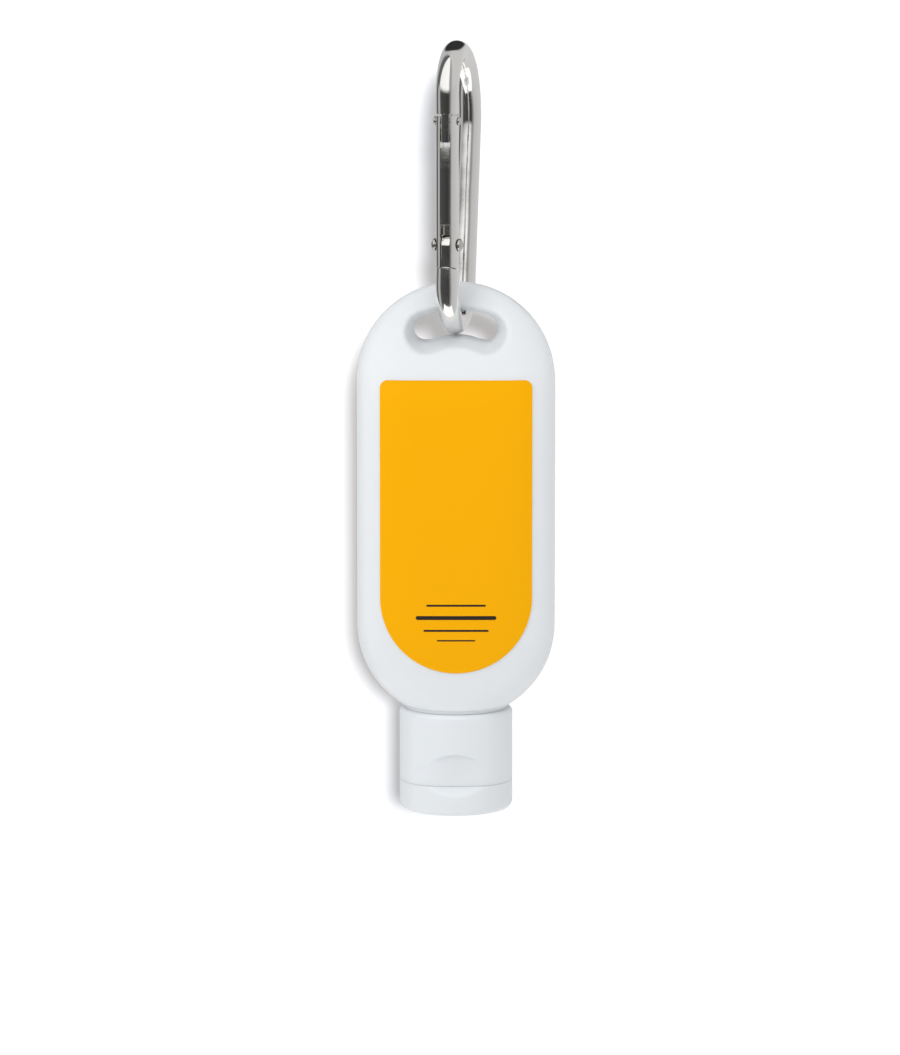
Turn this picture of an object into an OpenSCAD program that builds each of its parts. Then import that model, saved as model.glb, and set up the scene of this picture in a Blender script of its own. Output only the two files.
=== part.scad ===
// Clip-on sunscreen bottle: a squeeze bottle that hangs cap down from a snap hook.
// The origin is the point on the inside of the hook's top bend where it hangs.
// +Z is up, +X is to the right in the front view, and the front label faces -Y.

/* [Carabiner] */
// Diameter of the bent rod
rod_d = 4.8; // [3.9:0.1:5.6]
// Clear height inside, from the top bend to the bottom bend
hook_h = 51.6; // [46:0.2:62]
// Bend radius of the rod's centre line on the gate side, top and bottom
gate_bend_r = 8.8; // [8:0.1:10]
// Bend radius of the rod's centre line on the spine side at the top
spine_top_r = 14; // [11:0.1:17]
// Bend radius of the rod's centre line on the spine side at the bottom
spine_low_r = 8.2; // [7:0.1:9]
// Angle between the hook's plane and the bottle's centre plane
hook_yaw = 12; // [0:1:20]

/* [Gate] */
// Height of the rivet that the gate turns on, below the origin
rivet_drop = 36.9; // [35:0.1:38]
// Length of the gate from the rivet's axis to its free end
gate_reach = 26.8; // [25:0.1:28]
// Radius of the gate's rolled end around the rivet
knuckle_r = 4.9; // [4.4:0.1:5.2]
// Width of the slots in both ends of the gate
fork_w = 2.1; // [1.8:0.1:2.4]
// Depth of the slot at the gate's free end
top_fork_h = 6.5; // [6:0.1:8]
// Height of the lower slot above the rivet
low_fork_h = 4.3; // [3.9:0.1:5]
// Diameter of the rivet's shank
rivet_d = 1.6; // [1.2:0.1:1.9]
// Diameter of the rivet's heads
rivet_head_d = 2.6; // [2.2:0.1:3]
// Thickness of the rivet's heads
rivet_head_h = 0.95; // [0.6:0.05:1.2]
// Diameter of the latch pin
pin_d = 1.3; // [1:0.1:1.6]
// Diameter of the latch pin's heads
pin_head_d = 1.8; // [1.5:0.1:2.2]
// Thickness of the latch pin's heads
pin_head_h = 0.5; // [0.3:0.05:0.8]
// Depth of the latch pin below the gate's free end
pin_drop = 1.15; // [1:0.05:1.4]
// Diameter of the bore for the spring
spring_bore_d = 2.5; // [2.3:0.1:3]
// Depth of the bore for the spring above the lower slot
spring_bore_h = 10.6; // [9:0.1:13]
// Height of the flat on the hinge tongue above the rivet, where the plunger presses
tongue_flat = 2; // [1.8:0.1:2.3]
// Height of the plunger's head under the spring
plunger_h = 4.6; // [3:0.1:5]
// Height of the plunger's stem inside the spring
plunger_stem_h = 2.4; // [1:0.1:3]
// Wire of the spring
spring_wire_d = 0.35; // [0.25:0.05:0.45]
// Turns of the spring
spring_turns = 8; // [5:1:10]

/* [Bottle] */
// Width of the body
body_w = 41.5; // [36:0.5:50]
// Depth of the body from front to back
body_d = 25.4; // [24.4:0.2:31]
// Height of the body from its shoulder to the top of the hanging tab
body_h = 89.1; // [80:0.1:108]
// Wall of the body
body_wall = 1; // [0.8:0.05:1.3]
// Diameter of the round shoulder beside the cap
shoulder_d = 23; // [22:0.1:24.4]
// Depth of the hanging tab along its top edge
tab_d = 2.8; // [2:0.1:3.4]
// Slope of the tab's faces from the vertical, in degrees
tab_slope = 27.5; // [22:0.5:30]
// How flat the front is: 2 is an ellipse, more is squarer
flatness = 4; // [2.5:0.1:5]

/* [Slot] */
// Height of the slot that the rod passes through
slot_h = 5.3; // [5.2:0.1:7]
// Distance between the centres of the slot's round ends
slot_l = 12.4; // [10:0.1:15]
// Radius of the arch that the slot follows
slot_arch_r = 16.6; // [14:0.1:30]
// Width of the material between the top edge and the slot
strip_w = 5.9; // [5:0.1:7]
// Growth of the slot's mouth for each millimetre of depth
mouth_spread = 0.48; // [0.4:0.01:0.7]
// Rise of the slot's mouth for each millimetre of depth, along the rod's bend
mouth_lift = 0.13; // [0.1:0.01:0.2]
// Height of the solid tab between the slot and the cavity
web_h = 7.1; // [5:0.1:10]

/* [Neck and thread] */
// Diameter over the bottle's thread
thread_d = 19.7; // [19:0.1:20.2]
// Height of the bottle's thread above the neck
thread_h = 1; // [0.8:0.05:1.1]
// Rise of the thread in one turn
thread_pitch = 3.175; // [2.8:0.005:3.6]
// Turns of the thread
thread_turns = 1.5; // [1:0.25:2]
// Distance from the mouth to the first ridge of the bottle's thread
thread_lead = 1.6; // [1.2:0.1:2.4]
// Bore of the neck
mouth_d = 14; // [11:0.1:14.6]
// Length of the neck
neck_h = 13.2; // [12:0.1:16]

/* [Cap] */
// Outside diameter of the cap
cap_d = 23.8; // [23.2:0.1:26]
// Gap between the bottle's shoulder and the cap
cap_gap = 0.9; // [0.5:0.1:1.5]
// Thickness of the sealing washer
washer_h = 0.9; // [0.6:0.1:1.5]
// Bore of the sealing washer
washer_bore_d = 11; // [8:0.1:12]
// Thickness of the deck that closes the cap's skirt
deck_h = 1.95; // [1.4:0.05:2.4]
// Diameter of the orifice that the lotion leaves through
orifice_d = 3.6; // [3:0.1:5]
// Outside diameter of the nozzle around the orifice
nozzle_d = 6.4; // [5.8:0.1:8]
// Height of the nozzle above the deck
nozzle_h = 0.9; // [0.5:0.1:1.4]
// How much the nozzle narrows on the radius towards its end
nozzle_taper = 0.4; // [0.1:0.1:0.8]
// Radial clearance of the lid's plug in the orifice
plug_gap = 0.25; // [0.1:0.05:0.4]
// How much the plug narrows on the radius towards its end
plug_taper = 0.3; // [0.1:0.1:0.6]
// Height of the flip lid
lid_h = 6.85; // [6:0.05:9]
// Wall of the flip lid
lid_wall = 1.2; // [0.9:0.05:1.6]
// Radius of the lid's outer edge
lid_round = 2.6; // [1.5:0.1:3]
// Radius of the edge at the open end of the skirt
skirt_round = 0.8; // [0.4:0.1:1]
// Depth of the thumb flat at the seam
thumb_depth = 1.8; // [1:0.1:1.9]
// Height of the thumb flat above the seam
thumb_h = 7.1; // [4:0.1:9]
// Height of the bevel in the lid below the seam
bevel_h = 2.3; // [1.5:0.1:3]
// Height of the living hinge
hinge_h = 3.2; // [2:0.1:5]
// Width of the living hinge
hinge_w = 8; // [5:0.5:12]
// Thickness of the living hinge
hinge_t = 0.5; // [0.3:0.05:0.7]

/* [Labels] */
// Width of each label
label_w = 31.7; // [26:0.1:33]
// Drop from the top of the tab to the top edge of each label
label_drop = 19.5; // [18:0.1:24]
// Rise from the body's shoulder to the lower edge of each label
label_rise = 8.2; // [4:0.1:20]
// Radius of the label's two upper corners
label_corner_r = 1.7; // [0.5:0.1:4]
// Thickness of the label film
label_t = 0.15; // [0.1:0.01:0.2]

/* [Contents] */
// Height of the air space over the lotion, below the cavity's top
head_h = 5.5; // [2:0.1:20]

/* [Clearances] */
// Radial clearance of a running fit, as at the gate on its rivet
run_gap = 0.05; // [0.03:0.01:0.1]
// Radial clearance of a pressed or set piece in its seat
set_gap = 0.02; // [0.01:0.01:0.05]
// Clearance on each side of a tongue in its slot
side_gap = 0.2; // [0.1:0.05:0.3]
// Gap between the hook and the tab that rests in it, and between the gate and the nose
rest_gap = 0.3; // [0.2:0.05:0.5]
// Radial clearance of the thread at crest and root
thread_gap = 0.22; // [0.15:0.01:0.3]
// Gap between faces that lie on each other
face_gap = 0.05; // [0.02:0.01:0.1]
// Gap along the seam between cap and lid
seam_gap = 0.1; // [0.05:0.05:0.3]

/* [Hidden] */
eps = 0.01;
// How far a cut runs past the face that it opens, and a root into what it joins
past = 1;

// Hook, in its own plane: u runs from the gate to the spine, v is up
rod_r = rod_d / 2;
hook_low_v = -hook_h - rod_r;
gate_u = -gate_bend_r;
spine_top_v = rod_r - spine_top_r;
spine_low_v = hook_low_v + spine_low_r;
spine_lean = asin((spine_top_r - spine_low_r) / (spine_top_v - spine_low_v));
gate_top_v = gate_reach - rivet_drop;
nose_v = gate_top_v + rest_gap;
pin_v = gate_top_v - pin_drop;
spine_lap = 0.4;
spine_step = 0.02;
tongue_t = fork_w - 2 * side_gap;
tongue_end_gap = 1;
top_tongue_l = top_fork_h - tongue_end_gap;
low_tongue_w = rod_d - 1;
low_tongue_r = low_tongue_w / 2 + 0.7;
notch_r = pin_d / 2 + side_gap;
spring_top_v = -rivet_drop + low_fork_h + spring_bore_h;
plunger_d = spring_bore_d - 4 * run_gap;
plunger_low_v = -rivet_drop + tongue_flat + face_gap;
spring_r = (spring_bore_d - spring_wire_d) / 2 - 2 * run_gap;
spring_low_v = plunger_low_v + plunger_h;

// Bottle body, from the top of its tab down
body_r = body_w / 2;
slot_top_z = -hook_h + rest_gap;
body_top_z = slot_top_z + strip_w;
shoulder_z = body_top_z - body_h;
arc_top_z = body_top_z - body_r;
arc_low_z = shoulder_z + sqrt(body_r * body_r - shoulder_d * shoulder_d / 4);
cavity_top_z = slot_top_z - slot_h - web_h;
slot_z = slot_top_z - slot_h / 2;
lotion_z = cavity_top_z - head_h;
slot_reach = 4.5;
mouth_start = -0.92;
crest_trim = 0.05;
section_points = 56;
front_blend = 2.5;

// Neck, washer and cap
mouth_z = shoulder_z - neck_h;
thread_r = thread_d / 2;
neck_r = thread_r - thread_h;
skirt_bore_r = thread_r + thread_gap;
cap_r = cap_d / 2;
cap_top_z = shoulder_z - cap_gap;
washer_z = mouth_z - face_gap;
deck_z = washer_z - washer_h - face_gap;
seam_z = deck_z - deck_h;
lid_top_z = seam_z - seam_gap;
lid_end_z = lid_top_z - lid_h;
hinge_y = cap_r + hinge_t / 2 + face_gap;
thread_low_z = mouth_z + thread_lead;
thread_start = 10;
thread_root_w = 1.9;
thread_crest_w = 0.9;
thread_root_in = 0.4;

// Labels
label_top_z = body_top_z - label_drop;
label_h = label_top_z - shoulder_z - label_rise;
label_r = label_w / 2;
label_arc_z = label_top_z - label_h + label_r;

// Half width of the body at a height
function half_w(z) =
    z > arc_top_z ? sqrt(max(0, body_r * body_r - pow(z - arc_top_z, 2)))
    : z < arc_low_z ? sqrt(max(0, body_r * body_r - pow(z - arc_low_z, 2)))
    : body_r;
// Share of the way from the straight sides down to the round shoulder
function low_share(z) = z < arc_low_z ? (arc_low_z - z) / (arc_low_z - shoulder_z) : 0;
// Half depth: a wedge below the tab that blends into the full depth
function wedge(z) = tab_d / 2 + tan(tab_slope) * (body_top_z - z);
function soft_min(a, b, k) = (a + b - sqrt((a - b) * (a - b) + k * k)) / 2;
function half_d(z) = soft_min(wedge(z), body_d / 2, front_blend)
    + (shoulder_d - body_d) / 2 * pow(low_share(z), 2);
// Exponent of the section's outline
function power(z) = flatness + (2 - flatness) * pow(low_share(z), 1.5);
function signed_pow(v, p) = sign(v) * pow(abs(v), p);
// Outline of the body at a height, grown by g
function section(z, g) = [for (i = [0 : section_points - 1])
    let (a = 360 * i / section_points, p = 2 / power(z))
    [(half_w(z) + g) * signed_pow(cos(a), p), (half_d(z) + g) * signed_pow(sin(a), p)]];
// Heights of the sections, close together where the outline turns fast
top_angles = [4, 10, 17, 25, 33, 41, 50, 59, 69, 79];
mid_steps = 6;
low_steps = 8;
outline_z = concat(
    [for (a = top_angles) arc_top_z + body_r * cos(a)],
    [for (i = [0 : mid_steps]) arc_top_z + (arc_low_z - arc_top_z) * pow(i / mid_steps, 1.7)],
    [for (i = [1 : low_steps]) arc_low_z + (shoulder_z - arc_low_z) * i / low_steps]);
// The same with the lotion's surface, and nothing nearer to it than the least spacing
least_step = 0.3;
heights = concat([for (z = outline_z) if (z > lotion_z + least_step) z], [lotion_z],
    [for (z = outline_z) if (z < lotion_z - least_step) z]);

// The body's outline as a ring of points at a height, grown by g
function ring(z, g) = [for (p = section(z, g)) [p[0], p[1], z]];
function round_ring(z, r) = [for (i = [0 : section_points - 1])
    let (a = 360 * i / section_points) [r * cos(a), r * sin(a), z]];
// Rings that follow the body's outline, grown by g, from a high to a low height
function body_rings(g, high, low) = concat([ring(high, g)],
    [for (z = heights) if (z < high - least_step && z > low + least_step) ring(z, g)], [ring(low, g)]);

// A closed solid through rings of points, from the highest ring to the lowest
module loft(rings) {
    n = len(rings[0]);
    last = len(rings) - 1;
    walls = [for (i = [0 : last - 1], k = [0 : n - 1])
        let (a = i * n + k, b = i * n + (k + 1) % n)
        each [[a, b, b + n], [a, b + n, a + n]]];
    ends = [[for (k = [n - 1 : -1 : 0]) k], [for (k = [0 : n - 1]) last * n + k]];
    polyhedron([for (r = rings) each r], concat(walls, ends), convexity = 6);
}

// The hook's plane laid out in the bottle's frame
module in_hook_plane() {
    rotate([0, 0, 90 - hook_yaw])
        rotate([90, 0, 0])
            children();
}

// A rod bent round a centre, from one angle through a sweep
module bend(v, r, from, sweep) {
    translate([0, v, 0])
        rotate([0, 0, from])
            rotate_extrude(angle = sweep, $fn = 96)
                translate([r, 0])
                    circle(rod_r, $fn = 40);
}

// A straight rod between two heights on the gate side
module gate_rod(low, high, r) {
    translate([gate_u, low, 0])
        rotate([-90, 0, 0])
            cylinder(h = high - low, r = r, $fn = 40);
}

// A round bar across the hook's plane
module cross_bar(v, r, l) {
    translate([gate_u, v, -l / 2])
        cylinder(h = l, r = r, $fn = 32);
}

// The straight back of the hook, let a little way into both bends
module spine() {
    spine_l = (spine_top_v - spine_low_v) * cos(spine_lean);
    translate([0, spine_low_v, 0])
        rotate([0, 0, -spine_lean])
            translate([spine_low_r, -spine_lap, 0])
                rotate([-90, 0, 0])
                    cylinder(h = spine_l + 2 * spine_lap, r = rod_r - spine_step, $fn = 40);
}

// Tongue at the hook's nose, notched for the latch pin on its inner side
module nose_tongue() {
    low = gate_top_v - top_tongue_l;
    difference() {
        intersection() {
            gate_rod(low, nose_v + past, rod_r - rest_gap);
            translate([gate_u - rod_r, low, -tongue_t / 2])
                cube([rod_d, nose_v + past - low, tongue_t]);
        }
        cross_bar(pin_v, notch_r, rod_d);
        translate([gate_u, pin_v - notch_r, -rod_r])
            cube([rod_d, 2 * notch_r, rod_d]);
    }
}

// Tongue that stands in the gate's lower slot, with a flat for the plunger
module hinge_tongue() {
    foot_v = -rivet_drop - knuckle_r - past;
    intersection() {
        union() {
            translate([gate_u - low_tongue_w / 2, foot_v, -tongue_t / 2])
                cube([low_tongue_w, -rivet_drop - foot_v, tongue_t]);
            cross_bar(-rivet_drop, low_tongue_r, tongue_t);
        }
        translate([gate_u - low_tongue_w / 2, foot_v, -tongue_t])
            cube([low_tongue_w, -rivet_drop + tongue_flat - foot_v, 2 * tongue_t]);
    }
}

module carabiner_frame() {
    color([0.8, 0.8, 0.8])
        in_hook_plane()
            difference() {
                union() {
                    bend(rod_r - gate_bend_r, gate_bend_r, 90, 90);
                    mirror([1, 0, 0])
                        bend(spine_top_v, spine_top_r, 90, 90 + spine_lean);
                    spine();
                    bend(spine_low_v, spine_low_r, -90, 90 - spine_lean);
                    difference() {
                        union() {
                            bend(hook_low_v + gate_bend_r, gate_bend_r, 180, 90);
                            gate_rod(hook_low_v + gate_bend_r, -rivet_drop, rod_r);
                        }
                        cross_bar(-rivet_drop, knuckle_r + side_gap, rod_d + past);
                    }
                    gate_rod(nose_v, rod_r - gate_bend_r, rod_r);
                    nose_tongue();
                    hinge_tongue();
                }
                cross_bar(-rivet_drop, rivet_d / 2 + set_gap, rod_d + past);
            }
}

// A headed pin across the gate, its heads just clear of the rod
module headed_pin(v, d, head_d, head_h) {
    cross_bar(v, d / 2, rod_d + 2 * face_gap);
    for (side = [-1, 1])
        translate([gate_u, v, side * (rod_r + face_gap)])
            rotate([side > 0 ? 0 : 180, 0, 0])
                rotate_extrude($fn = 32)
                    pin_head(head_d / 2, head_h);
}

// Half outline of a low round head: a rim, then an arc to the centre
module pin_head(r, h) {
    rim = h * 0.35;
    arc_r = (r * r + pow(h - rim, 2)) / (2 * (h - rim));
    intersection() {
        square([r, h]);
        translate([0, h - arc_r])
            circle(arc_r, $fn = 64);
    }
}

module gate_rivet() {
    color([0.72, 0.72, 0.7])
        in_hook_plane()
            headed_pin(-rivet_drop, rivet_d, rivet_head_d, rivet_head_h);
}

module latch_pin() {
    color([0.72, 0.72, 0.7])
        in_hook_plane()
            headed_pin(pin_v, pin_d, pin_head_d, pin_head_h);
}

module gate() {
    color([0.8, 0.8, 0.82])
        in_hook_plane()
            difference() {
                union() {
                    gate_rod(-rivet_drop, gate_top_v, rod_r);
                    intersection() {
                        gate_rod(-rivet_drop - knuckle_r, -rivet_drop, rod_r);
                        cross_bar(-rivet_drop, knuckle_r, rod_d + past);
                    }
                }
                translate([gate_u - rod_r, gate_top_v - top_fork_h, -fork_w / 2])
                    cube([rod_d, top_fork_h + past, fork_w]);
                translate([gate_u - rod_r, -rivet_drop - knuckle_r - past, -fork_w / 2])
                    cube([rod_d, low_fork_h + knuckle_r + past, fork_w]);
                gate_rod(plunger_low_v - past, spring_top_v, spring_bore_d / 2);
                cross_bar(-rivet_drop, rivet_d / 2 + run_gap, rod_d + past);
                cross_bar(pin_v, pin_d / 2 + set_gap, rod_d + past);
            }
}

module spring_plunger() {
    color([0.85, 0.8, 0.65])
        in_hook_plane() {
            gate_rod(plunger_low_v, plunger_low_v + plunger_h, plunger_d / 2);
            gate_rod(plunger_low_v + plunger_h, plunger_low_v + plunger_h + plunger_stem_h,
                spring_r - spring_wire_d / 2 - 2 * run_gap);
        }
}

// Coil spring: rings of a round wire swept up a helix
module gate_spring() {
    sides = 6;
    per_turn = 14;
    rings = spring_turns * per_turn;
    low = spring_low_v + spring_wire_d / 2 + face_gap;
    rise = spring_top_v - spring_wire_d - 2 * face_gap - spring_low_v;
    points = [for (i = [0 : rings], k = [0 : sides - 1])
        let (a = 360 * i / per_turn, b = 360 * k / sides,
            r = spring_r + spring_wire_d / 2 * cos(b),
            v = low + rise * i / rings + spring_wire_d / 2 * sin(b))
        [gate_u + r * cos(a), v, r * sin(a)]];
    walls = [for (i = [0 : rings - 1], k = [0 : sides - 1])
        let (n = (k + 1) % sides)
        [i * sides + k, i * sides + n, (i + 1) * sides + n, (i + 1) * sides + k]];
    ends = [[for (k = [sides - 1 : -1 : 0]) k], [for (k = [0 : sides - 1]) rings * sides + k]];
    color([0.6, 0.6, 0.62])
        in_hook_plane()
            polyhedron(points, concat(walls, ends), convexity = 10);
}

// The slot: an arched hole, narrowest at the middle of the wall, with funnel faces
module arched_slot() {
    for (side = [-1, 1]) {
        slot_run(side, past, 0, 0);
        // A gentle funnel rounds the rim of the wide one
        slot_run(side, 0, mouth_start / 3, 0.5);
        slot_run(side, 0, mouth_start, 1);
    }
}

// A cone swept along the slot's arch, from a start past the middle of the wall to one
// side. It differs there from the slot's own size by the growth, and then spreads and
// rises by a share of the mouth's slopes
module slot_run(side, start, growth, share) {
    steps = 8;
    depth = wedge(slot_top_z - slot_h) + slot_reach;
    reach = asin(slot_l / 2 / slot_arch_r);
    for (i = [0 : steps - 1])
        hull()
            for (k = [i, i + 1], d = [-start, depth])
                translate([slot_arch_r * sin(reach * (2 * k / steps - 1)), -side * d,
                    slot_z - slot_arch_r * (1 - cos(reach * (2 * k / steps - 1)))
                        + max(0, d) * share * mouth_lift])
                    rotate([side * 90, 0, 0])
                        cylinder(h = eps, $fn = 28,
                            r = slot_h / 2 + growth + max(0, d) * share * mouth_spread);
}

// A trapezoid across a thread's ridge, at an angle and a height
function ridge_section(r_root, r_crest, angle, z) =
    let (side = sign(r_crest - r_root), root = side * thread_root_w / 2,
        crest = side * thread_crest_w / 2)
    [for (p = [[r_root, -root], [r_crest, -crest], [r_crest, crest], [r_root, root]])
        [p[0] * cos(angle), p[0] * sin(angle), z + p[1]]];

// A helical ridge that fades in and out over a few steps at its ends
module ridge(r_root, r_crest, z_low) {
    per_turn = 24;
    fade = 4;
    last = thread_turns * per_turn;
    loft([for (i = [0 : last])
        let (height = min(1, (i + 1) / fade, (last - i + 1) / fade))
        ridge_section(r_root, r_root + (r_crest - r_root) * height,
            thread_start + 360 * i / per_turn, z_low + thread_pitch * i / per_turn)]);
}

module bottle_body() {
    color([0.93, 0.94, 0.95])
        difference() {
            union() {
                loft(body_rings(0, body_top_z - crest_trim, shoulder_z));
                translate([0, 0, mouth_z])
                    cylinder(h = neck_h + past, r = neck_r, $fn = 74);
                ridge(neck_r - thread_root_in, thread_r, thread_low_z);
            }
            loft(body_rings(-body_wall, cavity_top_z, shoulder_z + body_wall));
            translate([0, 0, mouth_z - past])
                cylinder(h = neck_h + body_wall + past + eps, d = mouth_d, $fn = 64);
            arched_slot();
        }
}

module lotion() {
    skin = body_wall + face_gap;
    throat_r = mouth_d / 2 - face_gap;
    color([0.97, 0.95, 0.88])
        loft(concat(body_rings(-skin, lotion_z, shoulder_z + skin),
            [round_ring(shoulder_z + skin, throat_r), round_ring(mouth_z, throat_r)]));
}

// Half width of a label at a height: two small upper corners, a round lower end
function label_half_w(z) =
    z > label_top_z - label_corner_r
        ? label_r - label_corner_r + sqrt(max(0, pow(label_corner_r, 2)
            - pow(z - label_top_z + label_corner_r, 2)))
    : z < label_arc_z ? sqrt(max(0, label_r * label_r - pow(z - label_arc_z, 2)))
    : label_r;
// Depth of the body's front at a place, grown by g
function front_y(x, z, g) =
    -(half_d(z) + g) * pow(1 - pow(abs(x) / (half_w(z) + g), power(z)), 1 / power(z));

// A film that lies on the front of the body, as a grid of columns and rows
module label() {
    columns = 22;
    rows_z = concat(
        [for (a = [90 : -22.5 : 0]) label_top_z - label_corner_r * (1 - sin(a))],
        [for (z = heights)
            if (z < label_top_z - label_corner_r - least_step && z > label_arc_z + least_step) z],
        [for (a = [0, 10, 20, 30, 39, 47, 54, 61, 68, 74, 80, 86]) label_arc_z - label_r * sin(a)]);
    r = len(rows_z);
    c = columns + 1;
    points = [for (g = [face_gap, face_gap + label_t], z = rows_z, k = [0 : columns])
        let (x = label_half_w(z) * (2 * k / columns - 1)) [x, front_y(x, z, g), z]];
    inner = [for (i = [0 : r - 2], k = [0 : columns - 1]) let (a = i * c + k)
        each [[a, a + c, a + c + 1], [a, a + c + 1, a + 1]]];
    outer = [for (i = [0 : r - 2], k = [0 : columns - 1]) let (a = (r + i) * c + k)
        each [[a, a + c + 1, a + c], [a, a + 1, a + c + 1]]];
    // The rim runs right along the top row, down, left along the last row and up
    rim = concat([for (k = [0 : columns]) k], [for (i = [1 : r - 1]) i * c + columns],
        [for (k = [columns - 1 : -1 : 0]) (r - 1) * c + k], [for (i = [r - 2 : -1 : 1]) i * c]);
    edge = [for (i = [0 : len(rim) - 1]) let (a = rim[i], b = rim[(i + 1) % len(rim)])
        each [[a, b, b + r * c], [a, b + r * c, a + r * c]]];
    polyhedron(points, concat(inner, outer, edge), convexity = 4);
}

module front_label() {
    color([0.97, 0.68, 0.05])
        label();
}

module back_label() {
    color([0.97, 0.68, 0.05])
        mirror([0, 1, 0])
            label();
}

module sealing_washer() {
    color([0.9, 0.9, 0.86])
        translate([0, 0, washer_z - washer_h])
            difference() {
                cylinder(h = washer_h, r = skirt_bore_r - 2 * thread_gap, $fn = 64);
                translate([0, 0, -past])
                    cylinder(h = washer_h + 2 * past, d = washer_bore_d, $fn = 48);
            }
}

// The wedge that the thumb flat takes off the front of the cap
module thumb_cut() {
    rotate([90, 0, 90])
        translate([0, 0, -cap_r])
            linear_extrude(cap_d)
                polygon([[-cap_r + thumb_depth, seam_z - eps], [-cap_r, seam_z + thumb_h],
                    [-cap_r - past, seam_z + thumb_h], [-cap_r - past, seam_z - eps]]);
}

module bevel_cut() {
    rotate([90, 0, 90])
        translate([0, 0, -cap_r])
            linear_extrude(cap_d)
                polygon([[-cap_r + thumb_depth, lid_top_z + eps], [-cap_r, lid_top_z - bevel_h],
                    [-cap_r - past, lid_top_z - bevel_h], [-cap_r - past, lid_top_z + eps]]);
}

// Half outline of the skirt and deck, rounded at the open end
module skirt_outline() {
    square_h = cap_top_z - skirt_round - seam_z;
    difference() {
        union() {
            translate([0, seam_z])
                square([cap_r, square_h]);
            translate([0, seam_z + square_h - eps])
                square([cap_r - skirt_round, skirt_round + eps]);
            translate([cap_r - skirt_round, cap_top_z - skirt_round])
                circle(skirt_round, $fn = 24);
        }
        translate([-past, deck_z])
            square([skirt_bore_r + past, cap_top_z - deck_z + past]);
    }
}

module cap_base() {
    color([0.94, 0.95, 0.96])
        difference() {
            union() {
                rotate_extrude($fn = 96)
                    skirt_outline();
                translate([0, 0, seam_z - nozzle_h])
                    cylinder(h = nozzle_h + eps, r1 = nozzle_d / 2 - nozzle_taper,
                        r2 = nozzle_d / 2, $fn = 48);
                ridge(skirt_bore_r + thread_root_in, neck_r + thread_gap,
                    thread_low_z + thread_pitch / 2);
            }
            translate([0, 0, seam_z - nozzle_h - past])
                cylinder(h = deck_h + nozzle_h + 2 * past, d = orifice_d, $fn = 36);
            thumb_cut();
        }
}

// Half outline of the lid, from its rim to its rounded outer end
module lid_outline(r, low, high, round) {
    translate([0, low])
        square([r - round, high - low]);
    translate([0, low + round])
        square([r, high - low - round]);
    translate([r - round, low + round])
        circle(round, $fn = 48);
}

module cap_lid() {
    plug_r = orifice_d / 2 - plug_gap;
    plug_top_z = deck_z - deck_h / 2;
    color([0.94, 0.95, 0.96]) {
        difference() {
            rotate_extrude($fn = 96)
                lid_outline(cap_r, lid_end_z, lid_top_z, lid_round);
            translate([0, 0, lid_end_z + lid_wall])
                cylinder(h = lid_h, r = cap_r - thumb_depth - lid_wall, $fn = 64);
            bevel_cut();
        }
        translate([0, 0, lid_end_z + lid_wall - eps])
            cylinder(h = plug_top_z - lid_end_z - lid_wall + eps, r1 = plug_r,
                r2 = plug_r - plug_taper, $fn = 32);
    }
}

// The thin strap behind the cap that the lid turns on
module living_hinge() {
    color([0.92, 0.93, 0.94])
        intersection() {
            translate([0, 0, (seam_z + lid_top_z) / 2 - hinge_h / 2])
                difference() {
                    cylinder(h = hinge_h, r = cap_r + face_gap + hinge_t, $fn = 96);
                    translate([0, 0, -past])
                        cylinder(h = hinge_h + 2 * past, r = cap_r + face_gap, $fn = 96);
                }
            translate([-hinge_w / 2, 0, lid_end_z])
                cube([hinge_w, cap_d, 2 * lid_h]);
        }
}

carabiner_frame();
gate_rivet();
gate();
latch_pin();
spring_plunger();
gate_spring();
bottle_body();
lotion();
front_label();
back_label();
sealing_washer();
cap_base();
cap_lid();
living_hinge();
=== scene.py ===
# %% [markdown]
# # A clip-on sunscreen bottle
# A flat white squeeze bottle hangs cap down from a nickel-plated snap hook. This lesson builds
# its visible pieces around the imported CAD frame. The frame says where every piece is and which
# body it moves with. The rivet, the pin, the plunger, the lotion and the liner keep their CAD
# meshes and only get a finish. The other pieces are modelled again, with softer edges.

from math import asin, cos, exp, pi, radians, sin, sqrt, tan

import bmesh
import bpy
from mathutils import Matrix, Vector


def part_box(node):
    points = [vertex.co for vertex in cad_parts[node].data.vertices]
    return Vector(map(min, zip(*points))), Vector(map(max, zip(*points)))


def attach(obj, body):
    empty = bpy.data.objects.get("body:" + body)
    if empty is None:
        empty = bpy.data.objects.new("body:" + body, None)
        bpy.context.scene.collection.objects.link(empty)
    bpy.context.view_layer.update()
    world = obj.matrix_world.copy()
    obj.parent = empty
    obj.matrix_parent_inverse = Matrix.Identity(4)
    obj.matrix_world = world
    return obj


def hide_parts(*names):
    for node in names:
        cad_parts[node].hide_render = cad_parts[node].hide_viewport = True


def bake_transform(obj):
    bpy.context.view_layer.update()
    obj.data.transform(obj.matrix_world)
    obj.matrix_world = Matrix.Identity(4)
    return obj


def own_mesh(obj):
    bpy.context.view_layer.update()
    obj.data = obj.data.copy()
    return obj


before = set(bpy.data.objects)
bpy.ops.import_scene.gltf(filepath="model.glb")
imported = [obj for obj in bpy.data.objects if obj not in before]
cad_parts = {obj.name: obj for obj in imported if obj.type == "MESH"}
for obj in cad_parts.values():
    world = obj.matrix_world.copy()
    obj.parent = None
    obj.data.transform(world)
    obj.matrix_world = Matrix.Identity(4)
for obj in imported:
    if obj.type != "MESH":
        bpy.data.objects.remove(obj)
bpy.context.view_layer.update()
MM = 0.001

# %% [markdown]
# ## The camera
# The photograph was taken with a long lens from a little above the bottle: the far part of the
# hook shows above the near part by just as much as 8.5 degrees gives. So the camera looks
# along +Y from that height, 1.2 m away, at the middle of the picture. The picture is taller
# than wide, so Blender's sensor size goes on its height.

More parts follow.
